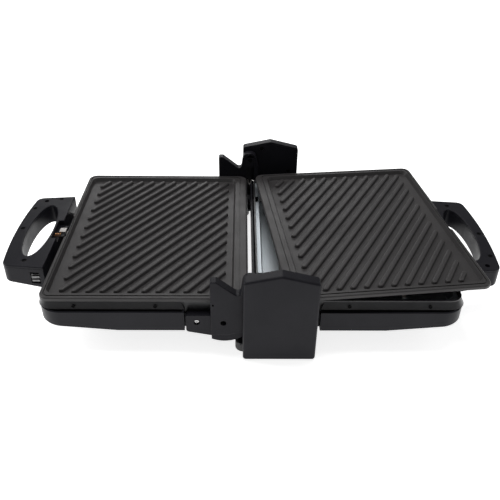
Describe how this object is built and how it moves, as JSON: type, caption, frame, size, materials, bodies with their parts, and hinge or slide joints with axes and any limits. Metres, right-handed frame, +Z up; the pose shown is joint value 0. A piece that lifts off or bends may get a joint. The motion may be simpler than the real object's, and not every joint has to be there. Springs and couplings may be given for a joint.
{
  "type": "contact grill",
  "caption": "Countertop contact grill opened flat, with a hinged lid, two lift-out ribbed cooking plates, side hinge towers and end handles.",
  "frame": {"origin": "bottom centre of the bounding box of the opened grill, on the table below the hinge axis", "axes": "+X from the lid's handle towards the base's handle, +Y along the hinge axis away from the viewer of the picture, +Z up"},
  "size_m": [0.656, 0.374, 0.1259],
  "materials": {
    "housing_plastic": "satin moulded black phenolic plastic",
    "chassis_plastic": "satin black",
    "latch_plastic": "satin dark grey",
    "plate_coating": "cast aluminium with a satin black non-stick coating",
    "reflector": "bright aluminised sheet",
    "heater_tube": "dull heat-stained steel tube",
    "steel": "plated steel",
    "fastener_steel": "plated screws",
    "dull_steel": "dull plated steel",
    "blackened_steel": "blackened screws, rivets, pins and clips",
    "spring_copper": "copper coloured spring wire",
    "rubber": "matt black rubber",
    "ceramic": "off-white ceramic"
  },
  "bodies": {
    "base": {"base_chassis": "chassis_plastic", "base_cover": "housing_plastic", "base_cover_screws": "fastener_steel", "base_feet": "rubber", "base_handle_face": "housing_plastic", "base_handle_grip": "housing_plastic", "base_handle_screws": "blackened_steel", "base_heater": "heater_tube", "base_heater_clips": "steel", "base_latch_spring": "spring_copper", "base_reflector": "reflector", "base_rivets": "blackened_steel", "base_thermal_fuse": "steel", "cord_inlet": "rubber", "mount_screws_far": "blackened_steel", "mount_screws_near": "blackened_steel", "terminal_block": "ceramic", "thermostat": "steel", "tower_cover_far": "housing_plastic", "tower_cover_near": "housing_plastic", "tower_feet_far": "rubber", "tower_feet_near": "rubber", "tower_mount_far": "housing_plastic", "tower_mount_near": "housing_plastic", "tower_plate_far": "housing_plastic", "tower_plate_near": "housing_plastic", "tower_screws_far": "blackened_steel", "tower_screws_near": "blackened_steel", "wire_clip": "steel"},
    "pivot_carriage": {"hinge_pin_far": "blackened_steel", "hinge_pin_near": "blackened_steel", "pin_clip_far": "blackened_steel", "pin_clip_near": "blackened_steel", "slide_block_far": "housing_plastic", "slide_block_near": "housing_plastic"},
    "lid": {"arm_screws_far": "fastener_steel", "arm_screws_near": "fastener_steel", "hinge_arm_far": "housing_plastic", "hinge_arm_near": "housing_plastic", "lid_chassis": "chassis_plastic", "lid_cover": "housing_plastic", "lid_cover_screws": "fastener_steel", "lid_feet": "rubber", "lid_handle_face": "housing_plastic", "lid_handle_grip": "housing_plastic", "lid_handle_screws": "blackened_steel", "lid_heater": "heater_tube", "lid_heater_clips": "steel", "lid_latch_spring": "spring_copper", "lid_plate": "plate_coating", "lid_reflector": "reflector", "lid_rivets": "blackened_steel", "lid_thermal_fuse": "steel"},
    "loose_plate": {"base_plate": "plate_coating"},
    "base_latch": {"base_latch_button": "latch_plastic", "base_latch_tongue": "steel"},
    "lid_latch": {"lid_latch_button": "latch_plastic", "lid_latch_tongue": "steel"},
    "lid_lock": {"lock_slider": "dull_steel"}
  },
  "joints": [
    {"name": "lid_hinge", "type": "hinge", "parent": "base", "child": "pivot_carriage", "pos_m": [0, 0, 0.1], "axis": [0, 1, 0], "range_deg": [0, 180]},
    {"name": "lid_float", "type": "slide", "parent": "pivot_carriage", "child": "lid", "axis": [0, 0, 1], "range_m": [0, 0.05]},
    {"name": "base_plate_lift", "type": "slide", "parent": "base", "child": "loose_plate", "axis": [1, 0, 0], "range_m": [0, 0.33]},
    {"name": "base_latch_press", "type": "slide", "parent": "base", "child": "base_latch", "axis": [1, 0, 0], "range_m": [0, 0.003], "stiffness_N_per_m": 300, "springref_m": -0.004, "deforming": ["base_latch_spring"]},
    {"name": "lid_latch_press", "type": "slide", "parent": "lid", "child": "lid_latch", "axis": [-1, 0, 0], "range_m": [0, 0.003], "stiffness_N_per_m": 300, "springref_m": -0.004, "deforming": ["lid_latch_spring"]},
    {"name": "lid_lock_slide", "type": "slide", "parent": "lid", "child": "lid_lock", "axis": [0, 0, 1], "range_m": [0, 0.0045]}
  ]
}
